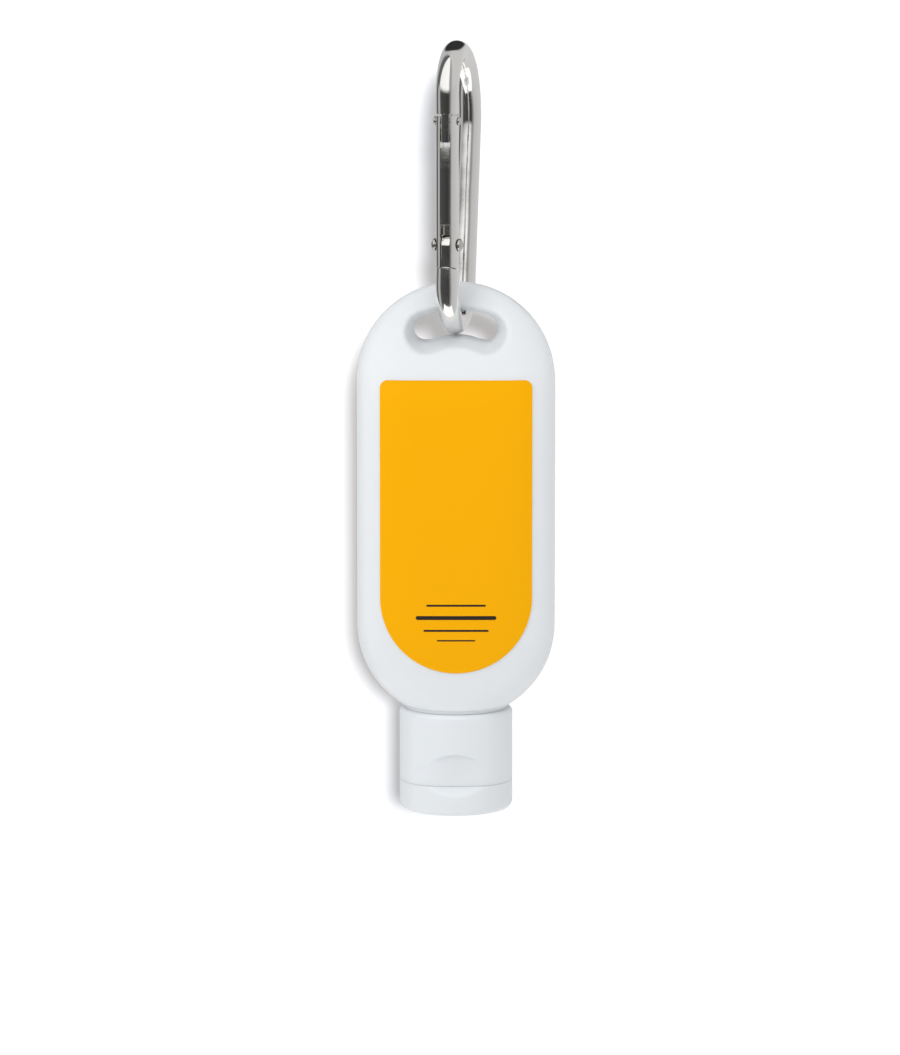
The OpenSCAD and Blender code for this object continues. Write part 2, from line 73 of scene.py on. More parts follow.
# %% Set up the camera
CAMERA_TILT = radians(8.5)
CAMERA_DISTANCE = 1.2
MM_PER_PIXEL = 0.21
PICTURE_H = 1055
SENSOR = 36.0
CLIP_NEAR, CLIP_FAR = 0.05, 20
LOOK_AT = Vector((-1.26, 0, -97.35)) * MM


def make_camera():
    data = bpy.data.cameras.new("camera")
    camera = bpy.data.objects.new("camera", data)
    bpy.context.scene.collection.objects.link(camera)
    back = Vector((0, -cos(CAMERA_TILT), sin(CAMERA_TILT)))
    camera.location = LOOK_AT + back * CAMERA_DISTANCE
    camera.rotation_euler = (pi / 2 - CAMERA_TILT, 0, 0)
    data.sensor_width = SENSOR
    data.lens = SENSOR * CAMERA_DISTANCE / (PICTURE_H * MM_PER_PIXEL * MM)
    data.clip_start, data.clip_end = CLIP_NEAR, CLIP_FAR
    bpy.context.scene.camera = camera
    return camera


print("lens in mm:", round(make_camera().data.lens, 1))

# %% [markdown]
# ## Light
# The bottle hangs in an even white studio. The world gives most of the light, so white plastic
# renders about as white as it is written. Lamps add a little form: a wide one from the left,
# because the photograph's right side is darker, and weak ones from above and behind.
# Metal needs something to mirror, so rays that leave a glossy surface see a studio with a dark
# band around the photographer, bright cloth above it and a dark screen high up behind.

# %% Helpers for node trees
def feed(tree, source, target):
    """Links a socket to an input, or writes a plain value there."""
    if isinstance(source, bpy.types.NodeSocket):
        tree.links.new(source, target)
    else:
        target.default_value = source


def add_node(tree, kind, inputs=None, **settings):
    """A shader node with its settings, and inputs that are plain values or sockets."""
    node = tree.nodes.new("ShaderNode" + kind)
    for name, value in settings.items():
        setattr(node, name, value)
    for name, source in (inputs or {}).items():
        feed(tree, source, node.inputs[name])
    return node


def maths(tree, operation, *inputs):
    """A Math node whose inputs are numbers or sockets."""
    return add_node(tree, "Math", dict(enumerate(inputs)), operation=operation).outputs[0]


def place_from(tree, output):
    """Texture coordinates as a vector, and split into X, Y and Z."""
    place = add_node(tree, "TexCoord").outputs[output]
    return place, add_node(tree, "SeparateXYZ", {0: place}).outputs

# %% Greys of the studio
AMBIENT_ABOVE, AMBIENT_BELOW = 0.66, 1.18
AMBIENT_EDGE = -0.5, 0.3
# Stops are (place, grey): place 0.5 is toward the camera, 0 and 1 are behind the bottle, and
# places over 0.5 are to the right
HORIZON_GREYS = [
    (0.0, 0.66), (0.12, 0.45), (0.17, 0.1), (0.205, 0.1), (0.235, 0.55), (0.27, 0.45),
    (0.305, 0.07), (0.5, 0.04), (0.55, 0.06), (0.6, 0.36), (0.63, 0.53), (0.8, 0.62),
    (1.0, 0.66)]
CLOTH_GREYS = [
    (0.0, 0.6), (0.14, 0.5), (0.18, 0.12), (0.255, 0.12), (0.285, 1.0), (0.53, 1.1),
    (0.565, 0.4), (0.6, 0.35), (0.65, 0.62), (1.0, 0.6)]
CLOTH_EDGE = 0.08, 0.3
SCREEN_TOWARD, SCREEN_GREY = Vector((0.08, 0.76, 0.64)), 0.03
SCREEN_HALF_WIDTH, SCREEN_SOFT_EDGE = radians(27), radians(7)
TABLE_GREY = 0.7
TABLE_EDGE = 0.74, 0.88
print("stops round the horizon and above it:", len(HORIZON_GREYS), len(CLOTH_GREYS))

# %% Helpers that mix greys, colours and shaders
def mix_grey(tree, factor, first, second, data_type="FLOAT"):
    """Blends two greys, each a number or a socket."""
    inputs = {"Factor": factor, "A": first, "B": second}
    return add_node(tree, "Mix", inputs, data_type=data_type).outputs["Result"]


def mix_colour(tree, factor, first, second):
    """Blends two colours, each (red, green, blue) or a socket."""
    first, second = [(*c, 1) if isinstance(c, tuple) else c for c in (first, second)]
    return mix_grey(tree, factor, first, second, "RGBA")


def mix_shaders(tree, share, first, second):
    return add_node(tree, "MixShader", {0: share, 1: first, 2: second}).outputs[0]


def soft_step(tree, value, low, high):
    """0 where the value is under low, 1 where it is over high, smooth between."""
    step = add_node(tree, "MapRange", {
        "Value": value, "From Min": low, "From Max": high}, interpolation_type="SMOOTHSTEP")
    return step.outputs["Result"]


def ramp_round(tree, turn, stops):
    """A grey for each part of a turn, between the stops."""
    ramp = add_node(tree, "ValToRGB", {0: turn})
    elements = ramp.color_ramp.elements
    elements.remove(elements[1])
    for i, (place, grey) in enumerate(stops):
        element = elements[0] if i == 0 else elements.new(place)
        element.position = place
        element.color = (grey, grey, grey, 1)
    return ramp.outputs["Color"]

# %% Make the world
def studio_for_metal(tree):
    """The grey that a glossy ray sees: two bands all round, a screen and a table."""
    place, axes = place_from(tree, "Generated")
    toward_camera = maths(tree, "MULTIPLY", axes["Y"], -1)
    turn = maths(tree, "ARCTAN2", axes["X"], toward_camera)
    turn = maths(tree, "MULTIPLY_ADD", turn, 0.5 / pi, 0.5)
    horizon, cloth = [ramp_round(tree, turn, greys) for greys in (HORIZON_GREYS, CLOTH_GREYS)]
    grey = mix_grey(tree, soft_step(tree, axes["Z"], *CLOTH_EDGE), horizon, cloth)
    along = add_node(tree, "VectorMath", {
        0: place, 1: SCREEN_TOWARD.normalized()}, operation="DOT_PRODUCT")
    on_screen = soft_step(tree, along.outputs["Value"],
                          cos(SCREEN_HALF_WIDTH + SCREEN_SOFT_EDGE), cos(SCREEN_HALF_WIDTH))
    grey = mix_grey(tree, on_screen, grey, SCREEN_GREY)
    below = soft_step(tree, maths(tree, "MULTIPLY", axes["Z"], -1), *TABLE_EDGE)
    return mix_grey(tree, below, grey, TABLE_GREY)


def soft_ambient(tree):
    """Light for matt surfaces: more comes up from the pale table than down."""
    axes = place_from(tree, "Generated")[1]
    return mix_grey(tree, soft_step(tree, axes["Z"], *AMBIENT_EDGE),
                    AMBIENT_BELOW, AMBIENT_ABOVE)


def make_world():
    world = bpy.data.worlds.new("white_studio")
    bpy.context.scene.world = world
    world.use_nodes = True
    tree = world.node_tree
    tree.nodes.clear()
    rays = add_node(tree, "LightPath").outputs
    lights = [add_node(tree, "Background", {"Color": colour}).outputs[0]
              for colour in (soft_ambient(tree), studio_for_metal(tree), (1, 1, 1, 1))]
    mirrored = maths(tree, "MAXIMUM", rays["Is Glossy Ray"], rays["Is Transmission Ray"])
    shown = mix_shaders(tree, mirrored, lights[0], lights[1])
    shown = mix_shaders(tree, rays["Is Camera Ray"], shown, lights[2])
    add_node(tree, "OutputWorld", {"Surface": shown})
    bpy.context.scene.view_settings.view_transform = "Standard"
    return world


print("world:", make_world().name)

# %% Make the lamps
LAMP_DISTANCE = 1.0


def direction(turn, tilt):
    """Away from the bottle, by degrees to the right of the camera and degrees up."""
    turn, tilt = radians(turn), radians(tilt)
    return Vector((sin(turn) * cos(tilt), -cos(turn) * cos(tilt), sin(tilt)))


def add_lamp(name, kind, away):
    """A lamp that shines back along a direction and isn't mirrored."""
    lamp = bpy.data.objects.new(name, bpy.data.lights.new(name, kind))
    bpy.context.scene.collection.objects.link(lamp)
    lamp.location = LOOK_AT + away * LAMP_DISTANCE
    lamp.rotation_mode = "QUATERNION"
    lamp.rotation_quaternion = away.to_track_quat("Z", "Y")
    lamp.visible_glossy = lamp.visible_camera = False
    return lamp


def make_softbox(name, turn, tilt, size, watts):
    lamp = add_lamp(name, "AREA", direction(turn, tilt))
    lamp.data.size, lamp.data.energy = size, watts
    return lamp


softboxes = [
    make_softbox("left_softbox", -38, 30, 0.5, 2.6),
    make_softbox("top_softbox", 15, 68, 0.5, 1.4),
    make_softbox("back_softbox", 165, 35, 0.6, 1.3),
]
print("lamps:", [lamp.name for lamp in softboxes])

# %% [markdown]
# ## Floor and backdrop
# A pale wall hangs 60 mm behind the bottle and takes the soft shadow that the photograph shows
# to the left of it. A sun that shines on the wall alone casts that shadow, so that it doesn't
# change the light on the bottle. Seen from behind, the wall is clear, so the bottle's back can
# be looked at too. The floor lies below the hanging bottle.

# %% Make the floor and the wall
WALL_Y, WALL_SIZE = 60 * MM, 1200 * MM
FLOOR_Z, FLOOR_SIZE = -300 * MM, 400 * MM
WALL_COLOUR, WALL_GLOW = (0.433, 0.441, 0.457, 1), 0.045
FLOOR_COLOUR, FLOOR_GLOW = (0.8, 0.8, 0.8, 1), 0.5


def pale_surface(name, colour, glow):
    """Matt and pale, clear from behind, and a little brighter to the camera."""
    material = bpy.data.materials.new(name)
    material.use_nodes = True
    tree = material.node_tree
    tree.nodes.clear()
    rays = add_node(tree, "LightPath").outputs
    seen = maths(tree, "MAXIMUM", rays["Is Camera Ray"], rays["Is Glossy Ray"])
    seen = maths(tree, "MAXIMUM", seen, rays["Is Transmission Ray"])
    matt = add_node(tree, "BsdfDiffuse", {"Color": colour})
    lit = add_node(tree, "Emission", {"Strength": maths(tree, "MULTIPLY", seen, glow)})
    both = add_node(tree, "AddShader", {0: matt.outputs[0], 1: lit.outputs[0]})
    side = add_node(tree, "NewGeometry")
    clear = add_node(tree, "BsdfTransparent")
    shown = mix_shaders(tree, side.outputs["Backfacing"], both.outputs[0], clear.outputs[0])
    add_node(tree, "OutputMaterial", {"Surface": shown})
    return material


def make_sheet(name, size, place, turn, material):
    bpy.ops.mesh.primitive_plane_add(size=size, location=place, rotation=turn)
    sheet = bpy.context.object
    sheet.name = name
    sheet.data.materials.append(material)
    return sheet


floor = make_sheet("floor", FLOOR_SIZE, (0, 0, FLOOR_Z), (0, 0, 0),
                   pale_surface("floor_paper", FLOOR_COLOUR, FLOOR_GLOW))
wall = make_sheet("wall", WALL_SIZE, (0, WALL_Y, FLOOR_Z + WALL_SIZE / 2), (pi / 2, 0, 0),
                  pale_surface("wall_paper", WALL_COLOUR, WALL_GLOW))
wall.visible_diffuse = wall.visible_glossy = wall.visible_shadow = False
print("backdrop:", floor.name, wall.name)

# %% Make the wall's sun
SHADOW_TURN, SHADOW_TILT = 2.35, 10.3
SUN_WIDTH, SUN_STRENGTH = radians(3.9), 4.35


def make_wall_sun():
    """A sun, as wide as a softbox, that lights the wall alone."""
    sun = add_lamp("wall_sun", "SUN", direction(SHADOW_TURN, SHADOW_TILT))
    sun.data.angle, sun.data.energy = SUN_WIDTH, SUN_STRENGTH
    receivers = bpy.data.collections.new("lit_by_wall_sun")
    receivers.objects.link(wall)
    sun.light_linking.receiver_collection = receivers
    return sun


print("lamp for the wall:", make_wall_sun().name)

# %% [markdown]
# ## Finishes
# Three effects are shared by several finishes, so each is a node group with its own values in
# every material: the faint ripple and grain that a mould leaves in plastic, the hairline
# scratches that handling leaves, and the soft waviness of a rod that was bent and then plated.
# All read Object coordinates, which here are metres on the real thing.

# %% Helpers for shared node groups
def new_group(name, inputs, outputs):
    """A shader node group with float sockets. Returns its tree, inner input and output."""
    tree = bpy.data.node_groups.new(name, "ShaderNodeTree")
    for socket, value in inputs.items():
        made = tree.interface.new_socket(socket, in_out="INPUT", socket_type="NodeSocketFloat")
        made.default_value = value
    for socket in outputs:
        tree.interface.new_socket(socket, in_out="OUTPUT", socket_type="NodeSocketFloat")
    return tree, tree.nodes.new("NodeGroupInput"), tree.nodes.new("NodeGroupOutput")


def noise(tree, vector, scale, detail=2.0, roughness=0.5):
    node = add_node(tree, "TexNoise", {
        "Vector": vector, "Scale": scale, "Detail": detail, "Roughness": roughness})
    return node.outputs["Fac"]


def object_place(tree):
    return add_node(tree, "TexCoord").outputs["Object"]

# %% The mould's surface
def make_moulded_surface():
    """Height of a moulded skin: a slow ripple and a fine grain."""
    tree, given, out = new_group("moulded_surface", {
        "Ripples per metre": 90, "Ripple": 1, "Grains per metre": 2500, "Grain": 0.1}, ["Height"])
    place = object_place(tree)
    ripple = noise(tree, place, given.outputs["Ripples per metre"], 1.5, 0.45)
    grain = noise(tree, place, given.outputs["Grains per metre"], 3, 0.6)
    ripple = maths(tree, "MULTIPLY", ripple, given.outputs["Ripple"])
    height = maths(tree, "MULTIPLY_ADD", grain, given.outputs["Grain"], ripple)
    feed(tree, height, out.inputs["Height"])
    return tree


MOULDED = make_moulded_surface()
print("node group:", MOULDED.name)

# %% Hairlines from handling
SCRATCH_TURNS = (0.3, 0.5, 0.2), (1.2, -0.4, 0.9)
SCRATCH_STRETCH, SCRATCH_HALF_WIDTH = (1, 14, 14), 0.008
PATCHES_PER_METRE = 60


def make_handling_scratches():
    """A mask of hairlines in two directions, between 0 and 1."""
    tree, given, out = new_group("handling_scratches", {
        "Scratches per metre": 260, "Coverage": 0.3}, ["Mask"])
    place = object_place(tree)
    lines = []
    for turn in SCRATCH_TURNS:
        mapping = add_node(tree, "Mapping", {
            "Vector": place, "Rotation": turn, "Scale": SCRATCH_STRETCH})
        fac = noise(tree, mapping.outputs["Vector"], given.outputs["Scratches per metre"], 1)
        ridge = maths(tree, "ABSOLUTE", maths(tree, "SUBTRACT", fac, 0.5))
        lines.append(maths(tree, "LESS_THAN", ridge, SCRATCH_HALF_WIDTH))
    patches = noise(tree, place, PATCHES_PER_METRE)
    here = maths(tree, "LESS_THAN", patches, given.outputs["Coverage"])
    either = maths(tree, "MAXIMUM", lines[0], lines[1])
    feed(tree, maths(tree, "MULTIPLY", either, here), out.inputs["Mask"])
    return tree


SCRATCHES = make_handling_scratches()
print("node group:", SCRATCHES.name)

# %% Waviness of a bent rod
PEEL_PER_METRE = 1400


def make_bent_rod_waviness():
    """Height of the slow waves in a rod that was bent cold and then polished."""
    tree, given, out = new_group("bent_rod_waviness", {
        "Waves per metre": 110, "Wave": 1, "Orange peel": 0.05}, ["Height"])
    place = object_place(tree)
    wave = noise(tree, place, given.outputs["Waves per metre"], 1.2, 0.4)
    peel = noise(tree, place, PEEL_PER_METRE)
    wave = maths(tree, "MULTIPLY", wave, given.outputs["Wave"])
    height = maths(tree, "MULTIPLY_ADD", peel, given.outputs["Orange peel"], wave)
    feed(tree, height, out.inputs["Height"])
    return tree


WAVINESS = make_bent_rod_waviness()
print("node group:", WAVINESS.name)

# %% Helpers for materials
def new_material(name, colour, roughness, **plain):
    """A Principled material whose plain values are set on the shader's own sockets."""
    material = bpy.data.materials.new(name)
    material.use_nodes = True
    tree = material.node_tree
    shader = tree.nodes["Principled BSDF"]
    for name, value in {"Base_Color": (*colour, 1), "Roughness": roughness, **plain}.items():
        shader.inputs[name.replace("_", " ")].default_value = value
    return material, tree, shader


def place_group(tree, group, **values):
    inputs = {name.replace("_", " "): value for name, value in values.items()}
    return add_node(tree, "Group", inputs, node_tree=group).outputs[0]


def add_bump(tree, shader, height, distance):
    bump = add_node(tree, "Bump", {"Height": height, "Distance": distance, "Strength": 1})
    feed(tree, bump.outputs["Normal"], shader.inputs["Normal"])


def add_scratches(tree, shader, coverage, low, high):
    """Roughness is high on the hairlines and low between them."""
    mask = place_group(tree, SCRATCHES, Coverage=coverage)
    roughness = maths(tree, "MULTIPLY_ADD", mask, high - low, low)
    feed(tree, roughness, shader.inputs["Roughness"])


def vary_colour(tree, shader, low, high, per_metre):
    """Slow, slight drifts between two colours."""
    drift = noise(tree, object_place(tree), per_metre)
    feed(tree, mix_colour(tree, drift, low, high), shader.inputs["Base Color"])

# %% White plastics
def make_plastic(name, colour, drift, roughness, ripple, grain, glow_through):
    """A satin moulded plastic with a slight colour drift, ripple, grain and hairlines."""
    material, tree, shader = new_material(
        name, colour, roughness, IOR=1.5, Subsurface_Weight=glow_through,
        Subsurface_Scale=1.5 * MM, Subsurface_Radius=(1, 0.95, 0.9))
    darker = tuple(c * (1 - drift) for c in colour)
    vary_colour(tree, shader, darker, colour, 45)
    height = place_group(tree, MOULDED, Ripple=ripple, Grain=grain)
    add_bump(tree, shader, height, 0.05 * MM)
    add_scratches(tree, shader, 0.42, roughness, roughness + 0.12)
    return material


bottle_plastic = make_plastic("blown_polyethylene", (0.79, 0.815, 0.835), 0.012, 0.34,
                              1.0, 0.1, 0.4)
cap_plastic = make_plastic("moulded_polypropylene", (0.78, 0.81, 0.835), 0.01, 0.28,
                           0.3, 0.05, 0.3)
print("plastics:", bottle_plastic.name, cap_plastic.name)

# %% Metals
def make_metal(name, colour, roughness, wave, scratch_share):
    """A polished or drawn metal with wavy reflections and hairlines."""
    material, tree, shader = new_material(name, colour, roughness, Metallic=1.0)
    height = place_group(tree, WAVINESS, Wave=wave, Orange_peel=0.02)
    add_bump(tree, shader, height, 0.25 * MM)
    add_scratches(tree, shader, scratch_share, roughness, roughness + 0.2)
    return material


nickel = make_metal("bright_nickel", (0.88, 0.87, 0.85), 0.07, 1.0, 0.45)
rivet_steel = make_metal("rivet_steel", (0.62, 0.61, 0.59), 0.24, 0.4, 0.6)
brass = make_metal("plated_brass", (0.8, 0.79, 0.76), 0.14, 0.2, 0.6)
spring_steel = make_metal("drawn_spring_wire", (0.5, 0.5, 0.5), 0.3, 0.2, 0.6)
print("metals:", nickel.name, rivet_steel.name, brass.name, spring_steel.name)

# %% Lotion and foam
def make_lotion():
    material, tree, shader = new_material("white_cream", (0.93, 0.89, 0.78), 0.35, IOR=1.45)
    vary_colour(tree, shader, (0.9, 0.85, 0.73), (0.94, 0.9, 0.8), 120)
    add_bump(tree, shader, noise(tree, object_place(tree), 200, 3), 0.2 * MM)
    return material


def make_foam():
    material, tree, shader = new_material("cell_foam", (0.84, 0.84, 0.8), 0.75)
    cells = add_node(tree, "TexVoronoi", {"Vector": object_place(tree), "Scale": 3500})
    add_bump(tree, shader, cells.outputs["Distance"], 0.05 * MM)
    vary_colour(tree, shader, (0.8, 0.8, 0.75), (0.86, 0.86, 0.82), 300)
    return material


lotion_cream = make_lotion()
foam = make_foam()
print("soft finishes:", lotion_cream.name, foam.name)

# %% [markdown]
# ## The label's print
# The label is a pale film with a flat orange print that runs to its cut edge. A few plain rules
# stand near the lower end, where such a label is printed. The orange and the rules are masks
# that come from the place on the label, so they stay sharp at any distance.

# %% Sizes of the label, from its CAD node
label_low, label_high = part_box("front_label")
LABEL_HALF_W = label_high.x
LABEL_TOP = label_high.z
LABEL_BOTTOM = label_low.z
LABEL_CORNER = 1.7 * MM
LABEL_ARC_Z = LABEL_BOTTOM + LABEL_HALF_W
# Plain rules: drop from the label's top, half length and half thickness in mm
RULES = [(47.0, 6.2, 0.22), (49.6, 8.4, 0.42), (52.3, 6.8, 0.22), (54.4, 4.0, 0.16)]
print("label in mm:", round(2 * LABEL_HALF_W / MM, 2), round((LABEL_TOP - LABEL_BOTTOM) / MM, 2))

# %% Make the label's material
def distance(tree, across, up):
    """The length of a flat vector."""
    across = maths(tree, "MULTIPLY", across, across)
    return maths(tree, "SQRT", maths(tree, "MULTIPLY_ADD", up, up, across))


def inside_label(tree, x, z):
    """1 within the label's outline, else 0."""
    beside = maths(tree, "ABSOLUTE", x)
    lower = maths(tree, "MINIMUM", maths(tree, "SUBTRACT", z, LABEL_ARC_Z), 0)
    radius = distance(tree, beside, lower)
    dx = maths(tree, "SUBTRACT", beside, LABEL_HALF_W - LABEL_CORNER)
    dz = maths(tree, "SUBTRACT", z, LABEL_TOP - LABEL_CORNER)
    reach = distance(tree, maths(tree, "MAXIMUM", dx, 0), maths(tree, "MAXIMUM", dz, 0))
    round_end = maths(tree, "LESS_THAN", radius, LABEL_HALF_W)
    round_corner = maths(tree, "LESS_THAN", reach, LABEL_CORNER)
    return maths(tree, "MULTIPLY", round_end, round_corner)


def on_rule(tree, x, z, drop, half_length, half_height):
    """1 on a plain rule with round ends, else 0."""
    beside = maths(tree, "ABSOLUTE", x)
    beside = maths(tree, "SUBTRACT", beside, (half_length - half_height) * MM)
    beside = maths(tree, "MAXIMUM", beside, 0)
    above = maths(tree, "SUBTRACT", z, LABEL_TOP - drop * MM)
    return maths(tree, "LESS_THAN", distance(tree, beside, above), half_height * MM)


def make_label_film():
    orange, bright_orange = (0.88, 0.415, 0.0), (0.91, 0.415, 0.0)
    film, ink = (0.85, 0.85, 0.84), (0.03, 0.025, 0.02)
    material, tree, shader = new_material("orange_film", orange, 0.32, IOR=1.48,
                                          Specular_IOR_Level=0.08)
    place, axes = place_from(tree, "Object")
    x, z = axes["X"], axes["Z"]
    drift = mix_colour(tree, noise(tree, place, 40), bright_orange, orange)
    printed = mix_colour(tree, inside_label(tree, x, z), film, drift)
    mask = on_rule(tree, x, z, *RULES[0])
    for rule in RULES[1:]:
        mask = maths(tree, "MAXIMUM", mask, on_rule(tree, x, z, *rule))
    feed(tree, mix_colour(tree, mask, printed, ink), shader.inputs["Base Color"])
    height = place_group(tree, MOULDED, Ripple=0.5, Grain=0.03)
    add_bump(tree, shader, maths(tree, "MULTIPLY_ADD", mask, 0.2, height), 0.04 * MM)
    add_scratches(tree, shader, 0.4, 0.3, 0.42)
    return material


label_film = make_label_film()
print("label:", label_film.name, "with", len(RULES), "plain rules")

# %% [markdown]
# ## Modelling by hand
# Each new piece starts as a primitive, is shaped in edit mode, and is finished with modifiers
# that are applied. A new primitive comes selected alone. The helpers select one object at a
# time too, because an operator acts on all that is selected.

# %% Helpers for edit mode
MERGE = 0.002 * MM


def select_only(piece):
    bpy.ops.object.select_all(action="DESELECT")
    piece.select_set(True)
    bpy.context.view_layer.objects.active = piece


def merge_doubles(piece):
    """Merges doubles, and stays in edit mode with all selected."""
    select_only(piece)
    bpy.ops.object.mode_set(mode="EDIT")
    bpy.ops.mesh.select_all(action="SELECT")
    bpy.ops.mesh.remove_doubles(threshold=MERGE)


def leave_edit():
    bpy.ops.object.mode_set(mode="OBJECT")


print("points closer than this are merged, in mm:", MERGE / MM)

# %% Helpers for modifiers and finished pieces
def apply_modifier(piece, kind, **values):
    select_only(piece)
    modifier = piece.modifiers.new(kind.lower(), kind)
    for name, value in values.items():
        setattr(modifier, name, value)
    bpy.ops.object.modifier_apply(modifier=modifier.name)


def cut_with(piece, cutter, operation="DIFFERENCE"):
    """An exact boolean, after which the cutter is gone."""
    apply_modifier(piece, "BOOLEAN", object=cutter, operation=operation, solver="EXACT")
    bpy.data.objects.remove(cutter)


def finish_piece(piece, name, material, turn=0, angle=30):
    """Settles a piece at the origin, with smooth shading up to an angle between faces."""
    select_only(piece)
    piece.rotation_euler.z = turn
    bpy.ops.object.transform_apply(location=True, rotation=True, scale=True)
    bpy.ops.object.shade_smooth_by_angle(angle=radians(angle))
    piece.name = piece.data.name = name
    piece.data.materials.clear()
    piece.data.materials.append(material)
    piece.data.calc_loop_triangles()
    print(name, "triangles:", len(piece.data.loop_triangles))
    return piece


def close_up(piece):
    """Merges doubles, fills open ends and turns every face outward."""
    merge_doubles(piece)
    bpy.ops.mesh.fill_holes(sides=0)
    bpy.ops.mesh.normals_make_consistent(inside=False)
    leave_edit()

# %% Helpers that extrude a ring of vertices
def loft_by_extruding(name, rings):
    """A closed solid: a circle of vertices is extruded through all rings, given in mm."""
    bpy.ops.mesh.primitive_circle_add(vertices=len(rings[0]), radius=10 * MM)
    piece = bpy.context.object
    piece.name = name
    bpy.ops.object.mode_set(mode="EDIT")
    mesh = bmesh.from_edit_mesh(piece.data)
    spoke = mesh.verts.layers.int.new("spoke")
    for i, vert in enumerate(mesh.verts):
        vert[spoke] = i
    bpy.ops.mesh.select_all(action="SELECT")
    for step, ring in enumerate(rings):
        if step > 0:
            bpy.ops.mesh.extrude_edges_move()
        mesh = bmesh.from_edit_mesh(piece.data)
        spoke = mesh.verts.layers.int["spoke"]
        for vert in mesh.verts:
            if vert.select:
                vert.co = Vector(ring[vert[spoke]]) * MM
        bmesh.update_edit_mesh(piece.data)
    leave_edit()
    close_up(piece)
    return piece


def round_ring(r, z, count):
    turns = [2 * pi * i / count for i in range(count)]
    return [(r * cos(a), r * sin(a), z) for a in turns]


def turned(section, a, centre_y=0):
    """Points of a section, each (radius, height), that stand at a turn about the axis."""
    return [(r * cos(a), centre_y + r * sin(a), z) for r, z in section]


def spread(first, last, step):
    """Numbers from first to last, about a step apart, without the last."""
    count = max(1, round(abs(last - first) / step))
    return [first + (last - first) * i / count for i in range(count)]


def soft_max(a, b, softness):
    return (a + b + sqrt((a - b) ** 2 + softness ** 2)) / 2


def soft_min(a, b, softness):
    return -soft_max(-a, -b, softness)


print("the lower of 3 and 4, rounded off by 1:", round(soft_min(3, 4, 1), 2))

# %% [markdown]
# ## The bottle body
# The real body is blown from one tube of polyethylene. Its tab is the same tube pinched flat
# and punched. So the outline is one smooth run of sections: a thin wedge at the top, a flat
# rounded box in the middle, a circle at the shoulder. Rings that are extruded from one section
# to the next give exactly that. The slot is cut, and a fine remesh with smoothing then rounds
# its rim all round, which a bevel could not do on so many small faces.

# %% Outline of the body, in mm
BODY_TOP, SHOULDER, BODY_R = -45.4, -134.5, 20.75
ARC_TOP = BODY_TOP - BODY_R
SHOULDER_R = 11.5
ARC_LOW = SHOULDER + sqrt(BODY_R ** 2 - SHOULDER_R ** 2)
BODY_HALF_D = 12.7
TAB_HALF_D = 1.4
TAB_SLOPE = tan(radians(27.5))
TAB_BLEND = 2.5
BODY_SPOKES = 144


def low_share(z):
    """0 on the straight sides and 1 at the shoulder."""
    return max(0, (ARC_LOW - z) / (ARC_LOW - SHOULDER))


def body_half_w(z):
    past = max(z - ARC_TOP, ARC_LOW - z, 0)
    return sqrt(max(0, BODY_R ** 2 - past ** 2))


def body_half_d(z):
    wedge = TAB_HALF_D + TAB_SLOPE * (BODY_TOP - z)
    return soft_min(wedge, BODY_HALF_D, TAB_BLEND) + (SHOULDER_R - BODY_HALF_D) * low_share(z) ** 2


def body_power(z):
    """Exponent of the section's outline: 4 is a flat rounded box, 2 is an ellipse."""
    return 4 - 2 * low_share(z) ** 1.5


def body_ring(z, grow, count):
    w, d, power = body_half_w(z) + grow, body_half_d(z) + grow, body_power(z)
    ring = []
    for x, y, _ in round_ring(1, 0, count):
        reach = (abs(x / w) ** power + abs(y / d) ** power) ** (-1 / power)
        ring.append((x * reach, y * reach, z))
    return ring


def body_heights(high, low, degrees, step):
    """Heights between two limits: by angle on the arcs and by a step between them."""
    angles = [radians(a) for a in range(3, 90, degrees)]
    heights = [ARC_TOP + BODY_R * cos(a) for a in angles]
    heights += spread(ARC_TOP, ARC_LOW, step)
    heights += [ARC_LOW - BODY_R * sin(a) for a in angles]
    gap = 0.1
    return [high] + [z for z in heights if low + gap < z < high - gap] + [low]


print("body half width and half depth at the middle:",
      round(body_half_w(-95), 2), round(body_half_d(-95), 2))

# %% Outline of the slot, in mm
SLOT_Z, SLOT_HALF_H, SLOT_ARCH_R, SLOT_END_X = -53.95, 2.65, 16.6, 6.2
# How the slot opens towards either side of the tab: half heights at the middle, and slopes
SLOT_UP = (2.34, 0.305), (1.73, 0.61)
SLOT_DOWN = (2.34, 0.175), (1.73, 0.35)


def slot_ring(y, arc_steps=16):
    """The arched slot at a depth, wider and higher towards either side of the tab."""
    depth = abs(y)
    up, down = [max(SLOT_HALF_H, *(start + slope * depth for start, slope in lines))
                for lines in (SLOT_UP, SLOT_DOWN)]
    half, lift = (up + down) / 2, (up - down) / 2
    reach = asin(SLOT_END_X / SLOT_ARCH_R)
    centre_z = SLOT_Z - SLOT_ARCH_R + lift
    ring = []
    for side in (1, -1):
        for i in range(arc_steps):
            a = side * reach * (2 * i / arc_steps - 1)
            r = SLOT_ARCH_R + side * half
            ring.append((r * sin(a), y, centre_z + r * cos(a)))
        for i in range(arc_steps):
            a = side * reach
            turn = a + pi * i / arc_steps
            x = SLOT_ARCH_R * sin(a) + side * half * sin(turn)
            z = centre_z + SLOT_ARCH_R * cos(a) + side * half * cos(turn)
            ring.append((x, y, z))
    return ring


print("slot points in a ring:", len(slot_ring(0)))

